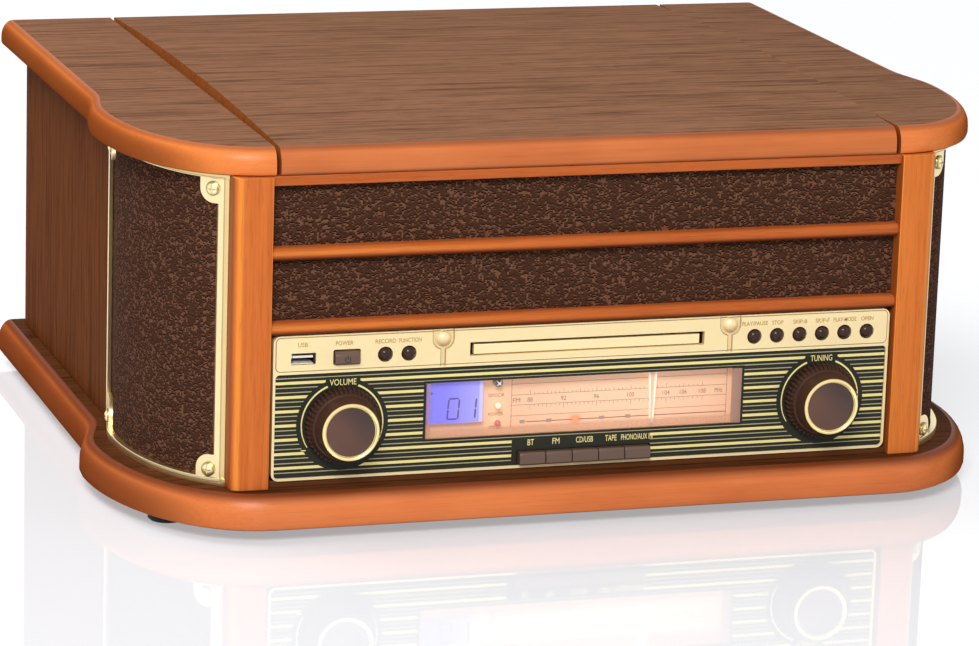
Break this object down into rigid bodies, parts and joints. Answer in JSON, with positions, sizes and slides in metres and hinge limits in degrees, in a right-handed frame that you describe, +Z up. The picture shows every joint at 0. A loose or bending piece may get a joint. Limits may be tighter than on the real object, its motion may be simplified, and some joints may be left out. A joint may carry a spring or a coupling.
{
  "type": "stereo music centre",
  "caption": "Wooden stereo music centre with a hinged lid over a record deck, disc tray, dial radio, side cassette deck and curved corner speakers",
  "frame": {"origin": "centre of the bounding box on the table plane", "axes": "+Z up, -Y out of the front, +X to the right seen from the front"},
  "size_m": [0.511, 0.405, 0.2155],
  "materials": {
    "board_wood": "lacquered veneer",
    "orange_wood": "orange-brown gloss lacquer",
    "raw_board": "raw fibreboard",
    "cloth": "brown jacquard weave",
    "brass_trim": "satin brass plate",
    "gold_plastic": "pale gold",
    "dark_plastic": "black with gold lines",
    "clear_cover": "clear",
    "dial_paper": "peach, lit from behind",
    "display": "blue lit display",
    "pointer_plastic": "clear to ivory",
    "circuit_board": "green laminate",
    "brown_key": "polished brown",
    "black_plastic": "fine grain black",
    "dark_tray": "satin black",
    "mechanism": "plain grey housing",
    "rubber": "matt black",
    "cast_metal": "spun",
    "plated_steel": "zinc plate",
    "arm_metal": "satin",
    "speaker_metal": "black chassis and paper cone"
  },
  "bodies": {
    "cabinet": {"base_board": "board_wood", "feet": "rubber", "side_panel_left": "board_wood", "side_panel_right": "board_wood", "back_panel": "raw_board", "pillars": "orange_wood", "front_rails": "orange_wood", "cloth_panels": "cloth", "top_caps": "board_wood", "speaker_frames": "brass_trim", "speaker_cloths": "cloth", "speaker_baffles": "raw_board", "speaker_drivers": "speaker_metal", "screws": "brass_trim", "fascia": "gold_plastic", "dial_plate": "dark_plastic", "dial_window": "clear_cover", "dial_scale": "dial_paper", "lcd_display": "display", "control_board": "circuit_board", "cd_mechanism": "mechanism", "tape_mechanism": "black_plastic", "deck_plate": "black_plastic", "platter_motor": "plated_steel", "drive_belt": "rubber", "hinge_leaves": "plated_steel", "rear_sockets": "black_plastic", "power_supply": "plated_steel"},
    "platter": {"platter": "cast_metal", "platter_mat": "rubber"},
    "tonearm": {"tonearm": "arm_metal", "cartridge": "black_plastic"},
    "lid": {"lid": "orange_wood", "lid_brackets": "plated_steel"},
    "dial_pointer": {"dial_pointer": "pointer_plastic"},
    "volume_knob": {"volume_knob": "brown_key"},
    "tuning_knob": {"tuning_knob": "brown_key"},
    "power_button": {"power_button": "brown_key"},
    "record_button": {"record_button": "brown_key"},
    "function_button": {"function_button": "brown_key"},
    "play_button": {"play_button": "brown_key"},
    "stop_button": {"stop_button": "brown_key"},
    "skip_back_button": {"skip_back_button": "brown_key"},
    "skip_forward_button": {"skip_forward_button": "brown_key"},
    "play_mode_button": {"play_mode_button": "brown_key"},
    "open_button": {"open_button": "brown_key"},
    "bt_key": {"bt_key": "brown_key"},
    "fm_key": {"fm_key": "brown_key"},
    "cd_key": {"cd_key": "brown_key"},
    "tape_key": {"tape_key": "brown_key"},
    "phono_key": {"phono_key": "brown_key"},
    "cd_tray": {"cd_tray": "dark_tray"},
    "cassette_flap": {"cassette_flap": "black_plastic"},
    "eject_key": {"eject_key": "black_plastic"},
    "motor_pulley": {"motor_pulley": "brass_trim"},
    "arm_yoke": {"arm_yoke": "dark_tray"},
    "lift_bar": {"lift_bar": "plated_steel"},
    "cue_lever": {"cue_lever": "arm_metal"},
    "speed_switch": {"speed_switch": "arm_metal"},
    "lid_stay": {"lid_stay": "plated_steel"}
  },
  "joints": [
    {"name": "lid_hinge", "type": "hinge", "parent": "cabinet", "child": "lid", "pos_m": [0, 0.1915, 0.1935], "axis": [-1, 0, 0], "range_deg": [0, 62]},
    {"name": "lid_stay_pivot", "type": "hinge", "parent": "cabinet", "child": "lid_stay", "pos_m": [0.16935, 0.1015, 0.1935], "axis": [-1, 0, 0], "range_deg": [0, 124]},
    {"name": "platter_spin", "type": "hinge", "parent": "cabinet", "child": "platter", "pos_m": [-0.018, 0.0005, 0.1785], "axis": [0, 0, -1], "continuous": true},
    {"name": "pulley_spin", "type": "hinge", "parent": "cabinet", "child": "motor_pulley", "pos_m": [-0.0774, 0.0599, 0.169], "axis": [0, 0, -1], "continuous": true},
    {"name": "arm_swing", "type": "hinge", "parent": "cabinet", "child": "arm_yoke", "pos_m": [0.134, 0.1065, 0.164], "axis": [0, 0, -1], "range_deg": [0, 42]},
    {"name": "tonearm_lift", "type": "hinge", "parent": "arm_yoke", "child": "tonearm", "pos_m": [0.134, 0.1065, 0.192], "axis": [-1, 0, 0], "range_deg": [0, 3]},
    {"name": "lift_bar_rise", "type": "slide", "parent": "cabinet", "child": "lift_bar", "axis": [0, 0, 1], "range_m": [0, 0.0022]},
    {"name": "cue_lever_turn", "type": "hinge", "parent": "cabinet", "child": "cue_lever", "pos_m": [0.16, 0.0695, 0.172], "axis": [-1, 0, 0], "range_deg": [0, 50.01]},
    {"name": "speed_switch_slide", "type": "slide", "parent": "cabinet", "child": "speed_switch", "axis": [0, 1, 0], "range_m": [0, 0.012]},
    {"name": "volume_turn", "type": "hinge", "parent": "cabinet", "child": "volume_knob", "pos_m": [-0.137, -0.1855, 0.0593], "axis": [0, 1, 0], "range_deg": [0, 300]},
    {"name": "tuning_turn", "type": "hinge", "parent": "cabinet", "child": "tuning_knob", "pos_m": [0.137, -0.1855, 0.0593], "axis": [0, 1, 0], "range_deg": [-1185, 630]},
    {"name": "dial_pointer_slide", "type": "slide", "parent": "cabinet", "child": "dial_pointer", "axis": [1, 0, 0], "range_m": [-0.08, 0.043]},
    {"name": "record_button_press", "type": "slide", "parent": "cabinet", "child": "record_button", "axis": [0, 1, 0], "range_m": [0, 0.0012], "stiffness_N_per_m": 400, "springref_m": -0.0008},
    {"name": "function_button_press", "type": "slide", "parent": "cabinet", "child": "function_button", "axis": [0, 1, 0], "range_m": [0, 0.0012], "stiffness_N_per_m": 400, "springref_m": -0.0008},
    {"name": "play_button_press", "type": "slide", "parent": "cabinet", "child": "play_button", "axis": [0, 1, 0], "range_m": [0, 0.0012], "stiffness_N_per_m": 400, "springref_m": -0.0008},
    {"name": "stop_button_press", "type": "slide", "parent": "cabinet", "child": "stop_button", "axis": [0, 1, 0], "range_m": [0, 0.0012], "stiffness_N_per_m": 400, "springref_m": -0.0008},
    {"name": "skip_back_button_press", "type": "slide", "parent": "cabinet", "child": "skip_back_button", "axis": [0, 1, 0], "range_m": [0, 0.0012], "stiffness_N_per_m": 400, "springref_m": -0.0008},
    {"name": "skip_forward_button_press", "type": "slide", "parent": "cabinet", "child": "skip_forward_button", "axis": [0, 1, 0], "range_m": [0, 0.0012], "stiffness_N_per_m": 400, "springref_m": -0.0008},
    {"name": "play_mode_button_press", "type": "slide", "parent": "cabinet", "child": "play_mode_button", "axis": [0, 1, 0], "range_m": [0, 0.0012], "stiffness_N_per_m": 400, "springref_m": -0.0008},
    {"name": "open_button_press", "type": "slide", "parent": "cabinet", "child": "open_button", "axis": [0, 1, 0], "range_m": [0, 0.0012], "stiffness_N_per_m": 400, "springref_m": -0.0008},
    {"name": "power_button_press", "type": "slide", "parent": "cabinet", "child": "power_button", "axis": [0, 1, 0], "range_m": [0, 0.0018], "stiffness_N_per_m": 400, "springref_m": -0.0008},
    {"name": "bt_key_press", "type": "slide", "parent": "cabinet", "child": "bt_key", "axis": [0, 1, 0], "range_m": [0, 0.003], "stiffness_N_per_m": 300, "springref_m": -0.001},
    {"name": "fm_key_press", "type": "slide", "parent": "cabinet", "child": "fm_key", "axis": [0, 1, 0], "range_m": [0, 0.003], "stiffness_N_per_m": 300, "springref_m": -0.001},
    {"name": "cd_key_press", "type": "slide", "parent": "cabinet", "child": "cd_key", "axis": [0, 1, 0], "range_m": [0, 0.003], "stiffness_N_per_m": 300, "springref_m": -0.001},
    {"name": "tape_key_press", "type": "slide", "parent": "cabinet", "child": "tape_key", "axis": [0, 1, 0], "range_m": [0, 0.003], "stiffness_N_per_m": 300, "springref_m": -0.001},
    {"name": "phono_key_press", "type": "slide", "parent": "cabinet", "child": "phono_key", "axis": [0, 1, 0], "range_m": [0, 0.003], "stiffness_N_per_m": 300, "springref_m": -0.001},
    {"name": "cd_tray_slide", "type": "slide", "parent": "cabinet", "child": "cd_tray", "axis": [0, -1, 0], "range_m": [0, 0.13]},
    {"name": "cassette_flap_turn", "type": "hinge", "parent": "cabinet", "child": "cassette_flap", "pos_m": [0.2311, 0.0695, 0.1058], "axis": [0, 1, 0], "range_deg": [0, 90], "stiffness_Nm_per_rad": 0.0008, "springref_deg": -17.19},
    {"name": "eject_key_press", "type": "slide", "parent": "cabinet", "child": "eject_key", "axis": [-1, 0, 0], "range_m": [0, 0.0025], "stiffness_N_per_m": 300, "springref_m": -0.001}
  ],
  "couplings": [
    {"joint": "lid_stay_pivot", "follows": "lid_hinge", "ratio": 2},
    {"joint": "pulley_spin", "follows": "platter_spin", "ratio": 11.667},
    {"joint": "lift_bar_rise", "follows": "tonearm_lift", "m_per_rad": 0.042},
    {"joint": "cue_lever_turn", "follows": "tonearm_lift", "ratio": 16.667},
    {"joint": "dial_pointer_slide", "follows": "tuning_turn", "m_per_rad": 0.0038197}
  ]
}
